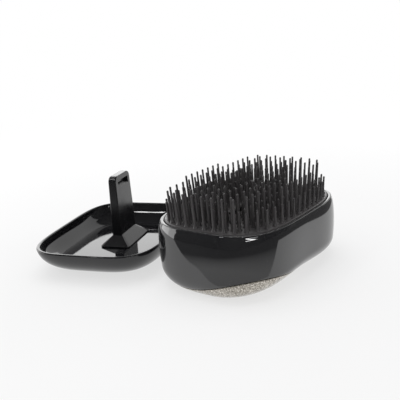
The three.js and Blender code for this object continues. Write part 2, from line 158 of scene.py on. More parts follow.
shell_low, shell_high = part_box("body_shell")
print("shell in the frame, mm:", in_mm(shell_high - shell_low))

# %% Points of the body
PAD_HALF_LENGTH = 40.8 * MM
PAD_HALF_WIDTH = 29.9 * MM
PAD_SQUARENESS = 3.5
LIP_TOP = 30.4 * MM
LIP_WIDTH = 1.2 * MM
END_BULGE = 3.5 * MM
SIDE_BULGE = 2.4 * MM
WIDEST_HEIGHT = 10.5 * MM
UPPER_ROUNDNESS = 1.9
LOWER_ROUNDNESS = 2.3
BACK_FLAT_HALF_LENGTH = 35 * MM
BACK_FLAT_HALF_WIDTH = 11.4 * MM
BODY_SQUARENESS = 2.95
MIDDLE_WAIST = 0.05
LOW_WAIST = 0.17


def body_point(angle, height, inset=0.0):
    """A point of the body's outer face at a height, moved in by an inset."""
    lip_length = PAD_HALF_LENGTH + LIP_WIDTH
    lip_width = PAD_HALF_WIDTH + LIP_WIDTH
    if height < WIDEST_HEIGHT:
        down = (WIDEST_HEIGHT - height) / (WIDEST_HEIGHT - inset)
        part = swell(down, LOWER_ROUNDNESS)
        half_length = mix(BACK_FLAT_HALF_LENGTH, lip_length + END_BULGE, part)
        half_width = mix(BACK_FLAT_HALF_WIDTH, lip_width + SIDE_BULGE, part)
        squareness, waist = BODY_SQUARENESS, mix(MIDDLE_WAIST, LOW_WAIST, down)
    else:
        up = min(1.0, (height - WIDEST_HEIGHT) / (LIP_TOP - WIDEST_HEIGHT))
        part = swell(up, UPPER_ROUNDNESS)
        half_length = lip_length + END_BULGE * part
        half_width = lip_width + SIDE_BULGE * part
        squareness = mix(BODY_SQUARENESS, PAD_SQUARENESS, up)
        waist = MIDDLE_WAIST * (1 - up)
    x, y = outline(angle, half_length - inset, half_width - inset, squareness, waist)
    return Vector((x, y, height))


print("end of the body at its widest, mm:", in_mm(body_point(0, WIDEST_HEIGHT)))

# %% Edge of the pad and the seam
SEAM_LOW = 3 * MM
SEAM_HIGH = 10.8 * MM
SEAM_SHARPNESS = 2.5


def pad_point(angle, height, inset=0.0):
    """A point of the tooth pad's edge."""
    x, y = outline(angle, PAD_HALF_LENGTH - inset, PAD_HALF_WIDTH - inset, PAD_SQUARENESS)
    return Vector((x, y, height))


def seam_height(angle):
    """The seam of shell and back panel: high at two opposite corners, low at the others."""
    return mix(SEAM_LOW, SEAM_HIGH, ((1 + sin(2 * angle)) / 2) ** SEAM_SHARPNESS)


print("seam at the end and at a high corner, mm:", in_mm(map(seam_height, (0, pi / 4))))

# %% [markdown]
# ## Helpers for shells of rings
#
# Every rounded wall here is a stack of rings: a circle is made once, its points are put on
# the first ring, and its edge is extruded to each next ring. Each point keeps its angle in
# a layer, so a ring only needs a rule that gives a place for an angle. A boolean could cut
# the wavy seam out of a plain dome, but it leaves ragged faces along the cut. With rings the
# seam and the rim are exact edges.

# %% Ring helpers
AROUND = 192


def ring_edges(verts):
    """The edges that join these points to each other."""
    inside = set(verts)
    return [e for e in {e for v in verts for e in v.link_edges} if set(e.verts) <= inside]


def stack_rings(bm, rules, around=AROUND):
    """Extrudes a circle through rings. Each rule gives a point for an angle."""
    angle = bm.verts.layers.float.new("angle")
    verts = bmesh.ops.create_circle(bm, segments=around, radius=1)["verts"]
    for v in verts:
        v[angle] = atan2(v.co.y, v.co.x)
    first = verts
    for v in verts:
        v.co = rules[0](v[angle])
    for rule in rules[1:]:
        made = bmesh.ops.extrude_edge_only(bm, edges=ring_edges(verts))["geom"]
        verts = [g for g in made if isinstance(g, bmesh.types.BMVert)]
        for v in verts:
            v.co = rule(v[angle])
    return first, verts


def cap(bm, verts):
    """Closes a ring with one flat face."""
    bmesh.ops.contextual_create(bm, geom=ring_edges(verts))


def close_round(bm, first, last):
    """Joins the last ring to the first, so that the wall closes on itself."""
    bmesh.ops.bridge_loops(bm, edges=ring_edges(first) + ring_edges(last))


def flat_ring(point, share, height, inset=0.0):
    """A ring of a flat bottom, drawn in to a share of the outline at that height."""
    def rule(a):
        edge = point(a, height, inset)
        return Vector((edge.x * share, edge.y * share, height))
    return rule


# %% Finished meshes


def make_mesh(bm, name):
    """Writes the bmesh into a new mesh and frees it."""
    mesh = bpy.data.meshes.new(name)
    bm.to_mesh(mesh)
    bm.free()
    return mesh


def finish_mesh(bm, name, body, stands_for, smooth=True):
    """Makes the object, with outward faces, ties it to its body and hides its solids."""
    bmesh.ops.recalc_face_normals(bm, faces=bm.faces)
    mesh = make_mesh(bm, name)
    for face in mesh.polygons:
        face.use_smooth = smooth
    piece = add_object(name, mesh)
    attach(piece, body)
    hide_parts(*stands_for)
    print(f"{name}: {len(mesh.polygons)} faces, {in_mm(piece.dimensions)} mm")
    return piece


# %% [markdown]
# ## The body shell
#
# The real shell is one glossy moulding with a soft belly, a lip round the tooth pad and a
# wavy lower edge. A subdivided cage could give the belly, but then the lip and the seam would
# drift with it. The rings keep both: they start inside the lower edge, turn round it, climb
# the outer face, roll over the lip and go down inside the seat of the pad.

# %% Rings of the shell
GAP = 0.3 * MM
EDGE_ROUND = 0.25 * MM
EDGE_SHARE = 0.3
LIP_ROUND = 0.5 * MM
ROUND_STEPS = 4


def seam_ring(rise, inset):
    return lambda a: body_point(a, seam_height(a) + rise, inset)


def shell_ring(part):
    """A ring of the outer face, from the rounded lower edge at 0 to the lip's edge at 1."""
    def rule(a):
        start = seam_height(a) + GAP / 2 + EDGE_ROUND
        return body_point(a, mix(start, LIP_TOP - LIP_ROUND, part))
    return rule


def lip_ring(part):
    """A ring of the rounded lip: from its side at 0 to its top at 1."""
    rise = LIP_ROUND * sin(part * pi / 2)
    inset = LIP_ROUND * (1 - cos(part * pi / 2))
    return lambda a: body_point(a, LIP_TOP - LIP_ROUND, inset) + Vector((0, 0, rise))


print("end of the lip's top, mm:", in_mm(lip_ring(1)(0)))

# %% Body shell
SHELL_WALL = 2 * MM
SEAT_BOTTOM = 25.9 * MM
SEAT_LEDGE = 2 * MM
BELLY_INSIDE = 1 * MM
LOWER_EDGE = 3 * EDGE_ROUND
OUTER_RINGS = 26

bm = bmesh.new()
rules = [
    seam_ring(GAP / 2 + LOWER_EDGE, SHELL_WALL),
    seam_ring(GAP / 2, SHELL_WALL - EDGE_ROUND),
    seam_ring(GAP / 2, EDGE_ROUND),
    seam_ring(GAP / 2 + EDGE_ROUND * EDGE_SHARE, EDGE_ROUND * EDGE_SHARE),
]
rules += [shell_ring(i / OUTER_RINGS) for i in range(OUTER_RINGS + 1)]
rules += [lip_ring(i / ROUND_STEPS) for i in range(1, ROUND_STEPS + 1)]
rules += [
    lambda a: pad_point(a, LIP_TOP, -GAP - EDGE_ROUND),
    lambda a: pad_point(a, LIP_TOP - EDGE_ROUND, -GAP),
    lambda a: pad_point(a, SEAT_BOTTOM, -GAP),
    lambda a: body_point(a, SEAT_BOTTOM - SEAT_LEDGE, SHELL_WALL),
    lambda a: body_point(a, WIDEST_HEIGHT + BELLY_INSIDE, SHELL_WALL),
]
first, last = stack_rings(bm, rules)
close_round(bm, first, last)
body_shell = finish_mesh(bm, "shell_gloss", "brush", ["body_shell"])

# %% [markdown]
# ## The back panel
#
# The glitter back is a shallow dish that closes the brush from below. It meets the shell
# along the wavy seam, and it ends in the flat that the brush rests on. It could be the
# shell's own bottom with a second material, but on the real brush it is a piece of its own
# with a thickness, so it is a second stack of rings from the same rules.

# %% Rings of the back
DISH_CROWDING = 1.6


def panel_ring(part, inset=0.0):
    """A ring of the dish, from just under the seam at 0 to the flat at 1."""
    def rule(a):
        start = seam_height(a) - GAP / 2 - EDGE_ROUND
        return body_point(a, mix(inset, start, (1 - part) ** DISH_CROWDING), inset)
    return rule


print("end of the flat, mm:", in_mm(panel_ring(1)(0)))

# %% Back panel
PANEL_WALL = 2.6 * MM
DISH_RINGS = 16
INNER_RINGS = 8
FLAT_STEPS = (0.66, 0.33)

bm = bmesh.new()
rules = [flat_ring(body_point, share, PANEL_WALL, PANEL_WALL)
         for share in reversed(FLAT_STEPS)]
rules += [panel_ring(i / INNER_RINGS, PANEL_WALL) for i in range(INNER_RINGS, -1, -1)]
rules += [
    seam_ring(-GAP / 2, PANEL_WALL - EDGE_ROUND),
    seam_ring(-GAP / 2, EDGE_ROUND),
    seam_ring(-GAP / 2 - EDGE_ROUND * EDGE_SHARE, EDGE_ROUND * EDGE_SHARE),
]
rules += [panel_ring(i / DISH_RINGS) for i in range(DISH_RINGS + 1)]
rules += [flat_ring(body_point, share, 0.0) for share in FLAT_STEPS]
first, last = stack_rings(bm, rules)
cap(bm, first)
cap(bm, last)
back_panel = finish_mesh(bm, "back_glitter", "brush", ["back_panel"])

# %% [markdown]
# ## Where the teeth stand
#
# A ring of teeth follows the pad's edge, long at the brush's two ends and short along its
# sides. Inside it run rows of long and short teeth by turns, staggered to each other, with
# a bare place round the slot for the cover's tab. Scattering points over the face would be
# quicker to write, but a moulded brush is regular, so each place is worked out.

# %% The ring of teeth
TOOTH_PITCH = 4.7 * MM
TOOTH_ROWS = 21
RING_INSET = 1.9 * MM
LONG_FROM = 0.93
WALK_STEPS = 1440
QUARTERS = 4

ring_length = PAD_HALF_LENGTH - RING_INSET
ring_width = PAD_HALF_WIDTH - RING_INSET


def ring_places():
    """Places a pitch apart along the ring, measured on a fine walk round it."""
    walk = [Vector(outline(i / WALK_STEPS * 2 * pi, ring_length, ring_width, PAD_SQUARENESS))
            for i in range(WALK_STEPS + 1)]
    lengths = [0.0]
    for before, here in zip(walk, walk[1:]):
        lengths.append(lengths[-1] + (here - before).length)
    count = QUARTERS * round(lengths[-1] / TOOTH_PITCH / QUARTERS)
    for i in range(count):
        goal = (i + 0.5) / count * lengths[-1]
        x, y = next(p for p, length in zip(walk, lengths) if length >= goal)
        yield x, y, abs(x) > LONG_FROM * ring_length


ring_teeth = list(ring_places())
print(len(ring_teeth), "teeth in the ring")

# %% The rows of teeth
TOOTH_SPACE = 2.6 * MM
RING_TO_ROWS = 3.3 * MM
TOOTH_KEEP_OFF = 2.6 * MM
SLOT_LENGTH = 19.84 * MM
SLOT_WIDTH = 5.8 * MM

opening = next(o for o in frame["record"]["physics"]["openings"] if o["name"] == "tab_slot")
slot_x = (opening["box_m"][0][0] + opening["box_m"][1][0]) / 2
slot_y = (opening["box_m"][0][1] + opening["box_m"][1][1]) / 2
row_pitch = 2 * ring_width / (TOOTH_ROWS - 1)


def row_places(row):
    """A row's places, spread evenly to its ends, half a pitch off those beside it."""
    y = row * row_pitch - ring_width
    is_long = row % 2 == 1
    part = (abs(y) / (ring_width - row_pitch / 2)) ** PAD_SQUARENESS
    end = (ring_length - RING_TO_ROWS) * (1 - part) ** (1 / PAD_SQUARENESS)
    shift = 0 if is_long else 0.5
    last = round(end / TOOTH_PITCH - shift) + shift
    for i in range(int(2 * last) + 1):
        yield (i - last) / last * end, y, is_long


def clear_of_ring(x, y):
    """A row's tooth that would stand too near one of the ring is left out."""
    return all((Vector((x, y)) - Vector(other[:2])).length > TOOTH_SPACE
               for other in ring_teeth)


def clear_of_slot(x, y):
    return (abs(x - slot_x) > SLOT_LENGTH / 2 + TOOTH_KEEP_OFF
            or abs(y - slot_y) > SLOT_WIDTH / 2 + TOOTH_KEEP_OFF)


tooth_places = list(ring_teeth)
for row in range(1, TOOTH_ROWS - 1):
    tooth_places += [place for place in row_places(row) if clear_of_ring(*place[:2])]
tooth_places = [place for place in tooth_places if clear_of_slot(*place[:2])]
print(len(tooth_places), "teeth,", sum(place[2] for place in tooth_places), "of them long")

# %% [markdown]
# ## The teeth
#
# A real tooth flares where it grows out of the pad, runs nearly straight and ends in a
# small round tip that catches the light. A curve with a bevel could carry that profile, but
# hundreds of curves are slow. One tooth is a small circle extruded upward through a few
# rings, and it is made again at each place with a slight outward lean.

# %% Teeth
LONG_TOOTH = 15 * MM
SHORT_TOOTH = 8.6 * MM
TOOTH_SIDES = 8
# Height and radius in mm, from the foot up and then down from the tip.
FOOT_PROFILE = ((-0.5, 1.55), (0.15, 1.2), (0.9, 0.84), (2.4, 0.64))
TIP_PROFILE = ((-1.5, 0.46), (-0.5, 0.5), (-0.12, 0.36), (0.0, 0.13))


def tooth_mesh(name, height):
    """One upright tooth on the origin, as rings from its flared foot to its round tip."""
    def ring(z, radius):
        return lambda a: Vector((radius * cos(a), radius * sin(a), z))
    rules = [ring(z * MM, r * MM) for z, r in FOOT_PROFILE]
    rules += [ring(height + z * MM, r * MM) for z, r in TIP_PROFILE]
    bm = bmesh.new()
    first, last = stack_rings(bm, rules, TOOTH_SIDES)
    cap(bm, first)
    cap(bm, last)
    bmesh.ops.recalc_face_normals(bm, faces=bm.faces)
    return make_mesh(bm, name)


long_tooth = tooth_mesh("long_tooth", LONG_TOOTH)
short_tooth = tooth_mesh("short_tooth", SHORT_TOOTH)
print("faces on one tooth:", len(long_tooth.polygons))

# %% [markdown]
# ## The tooth pad
#
# The pad is one moulding with its teeth. Its plate is a low stack of rings with a rounded
# upper edge. A boolean could cut the slot for the cover's tab, but planes are exact: they
# cut it into the two flat faces, and the cut-out faces give way to a bridge between them.

# %% Slot of the pad
slot_left, slot_right = slot_x - SLOT_LENGTH / 2, slot_x + SLOT_LENGTH / 2
slot_front, slot_rear = slot_y - SLOT_WIDTH / 2, slot_y + SLOT_WIDTH / 2
slot_planes = [((x, 0, 0), (1, 0, 0)) for x in (slot_left, slot_right)]
slot_planes += [((0, y, 0), (0, 1, 0)) for y in (slot_front, slot_rear)]
print("sides of the slot, mm:", in_mm((slot_left, slot_right, slot_front, slot_rear)))


def with_parts(faces):
    """These faces with their edges and points, each once."""
    return list({part for f in faces for part in (f, *f.edges, *f.verts)})


def cut_slot(bm):
    """Opens the slot through the plate's two flat faces."""
    for place, normal in slot_planes:
        flats = [f for f in bm.faces if len(f.verts) > 4 or f.tag]
        for f in flats:
            f.tag = True
        cut = bmesh.ops.bisect_plane(bm, geom=with_parts(flats), plane_co=place,
                                     plane_no=normal)
        for part in cut["geom"]:
            if isinstance(part, bmesh.types.BMFace):
                part.tag = True
    inside = []
    for f in bm.faces:
        middle = f.calc_center_median()
        if f.tag and slot_left < middle.x < slot_right and slot_front < middle.y < slot_rear:
            inside.append(f)
    edges = [e for f in inside for e in f.edges]
    bmesh.ops.delete(bm, geom=inside, context="FACES_ONLY")
    bmesh.ops.bridge_loops(bm, edges=edges)
    return len(inside)


# %% Tooth pad
PAD_TOP = 30.9 * MM
PAD_BOTTOM = 28.5 * MM
PAD_ROUND = 0.6 * MM
TOOTH_FAN = radians(4.5)
PAD_NODES = [name for name in nodes if name.startswith("tooth_pad")]


def round_pad_ring(part):
    """A ring of the plate's rounded upper edge, from its side at 0 to its top at 1."""
    inset = PAD_ROUND * (1 - cos(part * pi / 2))
    height = PAD_TOP - PAD_ROUND + PAD_ROUND * sin(part * pi / 2)
    return lambda a: pad_point(a, height, inset)


bm = bmesh.new()
rules = [lambda a: pad_point(a, PAD_BOTTOM)]
rules += [round_pad_ring(i / ROUND_STEPS) for i in range(ROUND_STEPS + 1)]
first, last = stack_rings(bm, rules)
cap(bm, first)
cap(bm, last)
print("flat faces opened for the slot:", cut_slot(bm))
for x, y, is_long in tooth_places:
    start = len(bm.verts)
    bm.from_mesh(long_tooth if is_long else short_tooth)
    bm.verts.ensure_lookup_table()
    lean = (Matrix.Rotation(-TOOTH_FAN * y / PAD_HALF_WIDTH, 4, "X")
            @ Matrix.Rotation(TOOTH_FAN * x / PAD_HALF_LENGTH, 4, "Y"))
    place = Matrix.Translation((x, y, PAD_TOP)) @ lean
    bmesh.ops.transform(bm, matrix=place, verts=bm.verts[start:])
tooth_pad = finish_mesh(bm, "tooth_pad", "brush", PAD_NODES)

# %% [markdown]
# ## The cover
#
# The cover is a thin glossy dish, here upside down. One face with a Solidify modifier could
# make it, but its rim would be square. So its outer and inner faces are two stacks of rings
# that meet in a narrow rounded rim. It lies turned a little against the brush, so its own
# points are turned and moved to its place last.

# %% Rings of the cover
COVER_HALF_LENGTH = 43.4 * MM
COVER_HALF_WIDTH = 32.6 * MM
COVER_HEIGHT = 14.4 * MM
COVER_ROUNDNESS = 2.1
COVER_FLAT_HALF_LENGTH = 19.8 * MM
COVER_FLAT_HALF_WIDTH = 17.2 * MM
COVER_SQUARENESS = 3.5
COVER_RIM_SQUARENESS = 4.3
WALL_CROWDING = 1.8
RIM_ROUND = 0.5 * MM


def cover_point(angle, height, inset=0.0):
    """A point of the cover's outer face at a height, moved in by an inset."""
    down = max(0.0, (COVER_HEIGHT - height) / (COVER_HEIGHT - inset))
    part = swell(down, COVER_ROUNDNESS)
    half_length = mix(COVER_FLAT_HALF_LENGTH, COVER_HALF_LENGTH, part) - inset
    half_width = mix(COVER_FLAT_HALF_WIDTH, COVER_HALF_WIDTH, part) - inset
    squareness = mix(COVER_RIM_SQUARENESS, COVER_SQUARENESS, down)
    x, y = outline(angle, half_length, half_width, squareness)
    return Vector((x, y, height))


def cover_wall_ring(part, inset=0.0):
    """A ring of the wall, from the flat at 0 to just under the rim at 1."""
    height = mix(inset, COVER_HEIGHT - RIM_ROUND, part ** WALL_CROWDING)
    return lambda a: cover_point(a, height, inset)


def rim_ring(part, inset=0.0):
    """A ring of the rim's rounded edge, from the wall at 0 to the top at 1."""
    rise = RIM_ROUND * sin(part * pi / 2)
    step = RIM_ROUND * (1 - cos(part * pi / 2)) * (1 if inset == 0 else -1)
    height = COVER_HEIGHT - RIM_ROUND
    return lambda a: cover_point(a, height, inset + step) + Vector((0, 0, rise))


print("end of the cover's rim, mm:", in_mm(rim_ring(1)(0)))

# %% Cover shell
COVER_WALL = 1.5 * MM
COVER_TURN = radians(19.4)
WALL_RINGS = 18
RIM_STEPS = 3

rest = next(m for m in frame["record"]["mounts"] if m["name"] == "cover_rest_face")
to_cover = Matrix.Translation(rest["pos_m"]) @ Matrix.Rotation(COVER_TURN, 4, "Z")

bm = bmesh.new()
rules = [flat_ring(cover_point, share, 0.0) for share in reversed(FLAT_STEPS)]
rules += [cover_wall_ring(i / WALL_RINGS) for i in range(WALL_RINGS + 1)]
rules += [rim_ring(i / RIM_STEPS) for i in range(1, RIM_STEPS + 1)]
rules += [rim_ring(i / RIM_STEPS, COVER_WALL) for i in range(RIM_STEPS, 0, -1)]
rules += [cover_wall_ring(i / WALL_RINGS, COVER_WALL) for i in range(WALL_RINGS, -1, -1)]
rules += [flat_ring(cover_point, share, COVER_WALL, COVER_WALL) for share in FLAT_STEPS]
first, last = stack_rings(bm, rules)
cap(bm, first)
cap(bm, last)
bmesh.ops.transform(bm, matrix=to_cover, verts=bm.verts)
cover_shell = finish_mesh(bm, "cover_gloss", "cover", ["cover_shell"])

# %% [markdown]
# ## The floor of the cover
#
# A thin insert lies on the dish's floor and gives it a flat, mirror-like bottom. The dish's
# own floor could be made flat instead, but then the fine outline round the insert would be
# missing. It is one low stack of rings that follows the wall with a small gap.

# %% Cover floor
INSERT_BOTTOM = 1.8 * MM
INSERT_TOP = 4.8 * MM
INSERT_DRAFT = 0.1 * MM
INSERT_ROUND = 0.25 * MM
# How far each ring of the upper edge lies below the top and inward, in roundings.
INSERT_EDGE = ((1.0, 0.0), (0.3, 0.5), (0.0, 1.6))


def insert_ring(height, inset):
    return lambda a: cover_point(a, height, COVER_WALL + GAP + inset)


bm = bmesh.new()
rules = [insert_ring(INSERT_BOTTOM, INSERT_DRAFT)]
rules += [insert_ring(INSERT_TOP - INSERT_ROUND * drop, INSERT_ROUND * step)
          for drop, step in INSERT_EDGE]
first, last = stack_rings(bm, rules)
cap(bm, first)
cap(bm, last)
bmesh.ops.transform(bm, matrix=to_cover, verts=bm.verts)
cover_floor = finish_mesh(bm, "cover_floor_gloss", "cover", ["cover_floor"],
                          smooth=False)

# %% [markdown]
# ## The clip tab
#
# The tab is a flat tongue that narrows upward, with rounded corners and edges. A scaled
# cube with a bevel would round all its edges alike, but the two upper corners are much
# rounder than the rest. So its outline is drawn, extruded to a thickness that shrinks
# towards the end, and only then bevelled.

# %% Tongue of the tab
TAB_BOTTOM = 5.1 * MM
TAB_TOP = 41.8 * MM
TAB_FOOT_WIDTH = 19.6 * MM
TAB_END_WIDTH = 17.8 * MM
TAB_FOOT_THICKNESS = 5.4 * MM
TAB_END_THICKNESS = 4.2 * MM
TAB_CORNER = 3 * MM
TAB_EDGE = 0.55 * MM
CORNER_STEPS = 6
EDGE_STEPS = 3


def tab_corner(side, step):
    """A point on the rounded upper corner: step 0 is at the side, the last one on top."""
    turn = step / CORNER_STEPS * pi / 2
    x = TAB_END_WIDTH / 2 - TAB_CORNER * (1 - cos(turn))
    return Vector((side * x, 0, TAB_TOP - TAB_CORNER * (1 - sin(turn))))


def thickness_at(z):
    part = (z - TAB_BOTTOM) / (TAB_TOP - TAB_BOTTOM)
    return mix(TAB_FOOT_THICKNESS, TAB_END_THICKNESS, part)


bm = bmesh.new()
half = TAB_FOOT_WIDTH / 2
edge = [Vector((-half, 0, TAB_BOTTOM)), Vector((half, 0, TAB_BOTTOM))]
edge += [tab_corner(1, i) for i in range(CORNER_STEPS + 1)]
edge += [tab_corner(-1, i) for i in range(CORNER_STEPS, -1, -1)]
back = bm.faces.new([bm.verts.new(p) for p in edge])
pushed = bmesh.ops.extrude_face_region(bm, geom=[back])["geom"]
front_verts = {g for g in pushed if isinstance(g, bmesh.types.BMVert)}
for v in bm.verts:
    side = -1 if v in front_verts else 1
    v.co.y = side * thickness_at(v.co.z) / 2
outline_edges = [e for e in bm.edges
                 if (e.verts[0] in front_verts) == (e.verts[1] in front_verts)
                 and max(v.co.z for v in e.verts) > TAB_BOTTOM + TAB_EDGE]
bmesh.ops.bevel(bm, geom=outline_edges, offset=TAB_EDGE, offset_type="OFFSET",
                segments=EDGE_STEPS, profile=0.5, affect="EDGES", material=-1)
print("faces on the plain tongue:", len(bm.faces))

# %% [markdown]
# ## The pocket in the tab
#
# Near the tab's end is a pocket with a ramp, which the catch in the brush snaps into. An
# inset could start it, but its edges have to lie at exact heights, so planes cut them into
# the face that looks at the catch. The faces between them are then pushed in, less towards
# the lower edge, which makes the ramp.

# %% Pocket
POCKET_WIDTH = 12.4 * MM
POCKET_HEIGHT = 3.6 * MM
POCKET_DEPTH = 2 * MM
POCKET_FROM_END = 2.6 * MM
LEAST_DEPTH = 0.02 * MM
FACING = -0.9

pocket_side = POCKET_WIDTH / 2
pocket_top = TAB_TOP - POCKET_FROM_END
pocket_low = pocket_top - POCKET_HEIGHT
ramp_top = pocket_low + POCKET_HEIGHT / 2
cuts = [((x, 0, 0), (1, 0, 0)) for x in (-pocket_side, pocket_side)]
cuts += [((0, 0, z), (0, 0, 1)) for z in (pocket_top, pocket_low, ramp_top)]
for place, normal in cuts:
    bm.faces.ensure_lookup_table()
    front = [f for f in bm.faces if f.normal.y < FACING]
    bmesh.ops.bisect_plane(bm, geom=with_parts(front), plane_co=place, plane_no=normal)
bm.normal_update()
pocket_faces = []
for f in bm.faces:
    middle = f.calc_center_median()
    if (f.normal.y < FACING and abs(middle.x) < pocket_side
            and pocket_low < middle.z < pocket_top):
        pocket_faces.append(f)
sunk = bmesh.ops.extrude_face_region(bm, geom=pocket_faces)["geom"]
for v in [g for g in sunk if isinstance(g, bmesh.types.BMVert)]:
    depth = POCKET_DEPTH * min(1.0, (v.co.z - pocket_low) / (POCKET_HEIGHT / 2))
    v.co.y += max(depth, LEAST_DEPTH)
bmesh.ops.delete(bm, geom=pocket_faces, context="FACES_ONLY")
print("faces sunk for the pocket:", len(pocket_faces))
print("open edges on the tab:", sum(e.is_boundary for e in bm.edges))

# %% [markdown]
# ## The foot of the tab
#
# The tab grows out of a low foot with four sloping sides. A cone with four sides would do,
# but the foot's top has other proportions than its bottom, so it is a stack of rings whose
# outline is nearly a rectangle.

# %% Foot of the tab
TAB_X = 6.5 * MM
FOOT_LENGTH = 29.5 * MM
FOOT_BREADTH = 16.3 * MM
FOOT_HEIGHT = 5.7 * MM
FOOT_EDGE = 0.4 * MM
FOOT_SQUARENESS = 14
FOOT_STEPS = 80


def foot_ring(rise, length, breadth):
    def rule(a):
        x, y = outline(a, length / 2, breadth / 2, FOOT_SQUARENESS)
        return Vector((x, y, TAB_BOTTOM + rise))
    return rule


first, last = stack_rings(bm, [
    foot_ring(0.0, FOOT_LENGTH, FOOT_BREADTH),
    foot_ring(FOOT_EDGE, FOOT_LENGTH, FOOT_BREADTH),
    foot_ring(FOOT_HEIGHT, TAB_END_WIDTH, TAB_END_THICKNESS),
], FOOT_STEPS)
cap(bm, first)
cap(bm, last)
to_tab = to_cover @ Matrix.Translation((TAB_X, 0, 0))
bmesh.ops.transform(bm, matrix=to_tab, verts=bm.verts)
cover_tab = finish_mesh(bm, "clip_tab", "cover", ["cover_tab"], smooth=False)

# %% [markdown]
# ## Finishes
#
# Every finish is a Principled shader on Object coordinates, so it stays put on its piece.
# UV maps would do as well, but these finishes have no direction, so none is needed. One
# helper adds a node and its links, and a small class holds what all finishes share.

# %% Node helper


def add_node(tree, kind, settings=(), **inputs):
    """A node with its settings, and inputs that are values or other nodes' outputs.

    An input is named as in the editor, with _ for a space, or numbered: i0, i1 and so on.
    """
    made = tree.nodes.new("ShaderNode" + kind)
    for key, value in dict(settings).items():
        setattr(made, key, value)
    for key, value in inputs.items():
        numbered = key[1:].isdigit()
        socket = made.inputs[int(key[1:]) if numbered else key.replace("_", " ")]
        if isinstance(value, bpy.types.NodeSocket):
            tree.links.new(value, socket)
        else:
            socket.default_value = value
    return made


# %% What all finishes share
NOISE_LOW = 0.3
NOISE_HIGH = 0.7


class Finish:
    """A material with a Principled shader, and short ways to add nodes to it."""

    def __init__(self, name, color, roughness, **sockets):
        self.material = bpy.data.materials.new(name)
        self.material.use_nodes = True
        self.tree = self.material.node_tree
        self.shader = self.tree.nodes["Principled BSDF"]
        self.shader.inputs["Base Color"].default_value = (*color, 1)
        self.shader.inputs["Roughness"].default_value = roughness
        for socket, value in sockets.items():
            self.shader.inputs[socket.replace("_", " ")].default_value = value
        self.place = self.node("TexCoord").outputs["Object"]

    def node(self, kind, settings=(), **inputs):
        return add_node(self.tree, kind, settings, **inputs)

    def noise(self, size, detail=2.0):
        """Noise whose patches are about this size."""
        made = self.node("TexNoise", Vector=self.place, Scale=1 / size, Detail=detail)
        return made.outputs["Fac"]

    def spread(self, noise, low, high):
        """Carries the middle of a noise's range onto another range."""
        made = self.node("MapRange", i0=noise, i1=NOISE_LOW, i2=NOISE_HIGH, i3=low, i4=high)
        return made.outputs["Result"]

    def bump(self, height, depth):
        made = self.node("Bump", Height=height, Distance=depth)
        self.link(made.outputs["Normal"], "Normal")

    def link(self, output, socket):
        self.tree.links.new(output, self.shader.inputs[socket])

    def dress(self, *pieces):
        for piece in pieces:
            piece.data.materials.clear()
            piece.data.materials.append(self.material)
        print(f"{self.material.name}: {len(self.tree.nodes)} nodes, on",
              ", ".join(piece.name for piece in pieces))


# %% [markdown]
# ## Glossy black
#
# The shell and the cover are piano-black mouldings. Their colour is nearly nothing, so all
# that shows is what they mirror. Low roughness alone would give a perfect mirror, which no
# handled brush is. So a very slight waviness and a faint haze break the mirror, a few dust
# specks lie on it, and a thin sheen brightens it towards the outline, as fine dust does.

# %% Glossy black
GLOSS_BLACK = (0.006, 0.006, 0.007)
DUST = (0.16, 0.155, 0.15)
DUST_SPACING = 2.6 * MM
DUST_SIZE = 0.035
HAZE_PATCH = 9 * MM
WAVE_LENGTH = 14 * MM
SHEEN_ROUGHNESS = 0.22


def gloss_black(name, ior, wave, clear, haze, sheen):
    """Gloss whose roughness wanders between clear and haze, with waves of a height."""
    finish = Finish(name, GLOSS_BLACK, clear, IOR=ior, Sheen_Weight=sheen,
                    Sheen_Roughness=SHEEN_ROUGHNESS)
    finish.link(finish.spread(finish.noise(HAZE_PATCH, 3.0), clear, haze), "Roughness")
    specks = finish.node("TexVoronoi", Vector=finish.place, Scale=1 / DUST_SPACING)
    near = finish.node("Math", {"operation": "LESS_THAN"}, i0=specks.outputs["Distance"],
                       i1=DUST_SIZE)
    color = finish.node("Mix", {"data_type": "RGBA"}, i0=near.outputs["Value"],
                        i6=(*GLOSS_BLACK, 1), i7=(*DUST, 1))
    finish.link(color.outputs["Result"], "Base Color")
    finish.bump(finish.noise(WAVE_LENGTH, 1.0), wave)
    return finish


gloss_black("glossy_black", ior=1.83, wave=0.05 * MM, clear=0.035, haze=0.075,
            sheen=0.36).dress(body_shell)
gloss_black("glossy_black_cover", ior=1.6, wave=0.05 * MM, clear=0.035, haze=0.085,
            sheen=0.2).dress(cover_shell, cover_floor)

# %% [markdown]
# ## Satin black
#
# Teeth and pad are a softer black plastic with a broad sheen. One roughness would make them
# look like rubber, so a fine grain in the roughness and a shallow moulded texture break the
# sheen up. The clip tab is nearly as glossy as the cover, so it takes the glossy finish with
# more haze.

# %% Satin black
SATIN_BLACK = (0.046, 0.043, 0.044)
MOULDED_BLACK = (0.02, 0.02, 0.021)
SATIN_IOR = 1.5
GRAIN = 1.2 * MM
MOULD_TEXTURE = 0.35 * MM
MOULD_DEPTH = 0.006 * MM


def satin_black(name, color, low, high):
    """Satin plastic whose roughness wanders between low and high."""
    finish = Finish(name, color, low, IOR=SATIN_IOR)
    finish.link(finish.spread(finish.noise(GRAIN, 3.0), low, high), "Roughness")
    finish.bump(finish.noise(MOULD_TEXTURE), MOULD_DEPTH)
    return finish


satin_black("satin_black_teeth", SATIN_BLACK, low=0.28, high=0.42).dress(tooth_pad)
gloss_black("hazy_black_tab", ior=1.6, wave=0.03 * MM, clear=0.18, haze=0.28,
            sheen=0.15).dress(cover_tab)
satin_black("moulded_black", MOULDED_BLACK, low=0.4, high=0.6).dress(
    nodes["inner_frame"], nodes["tab_socket"], nodes["catch_tongue"])

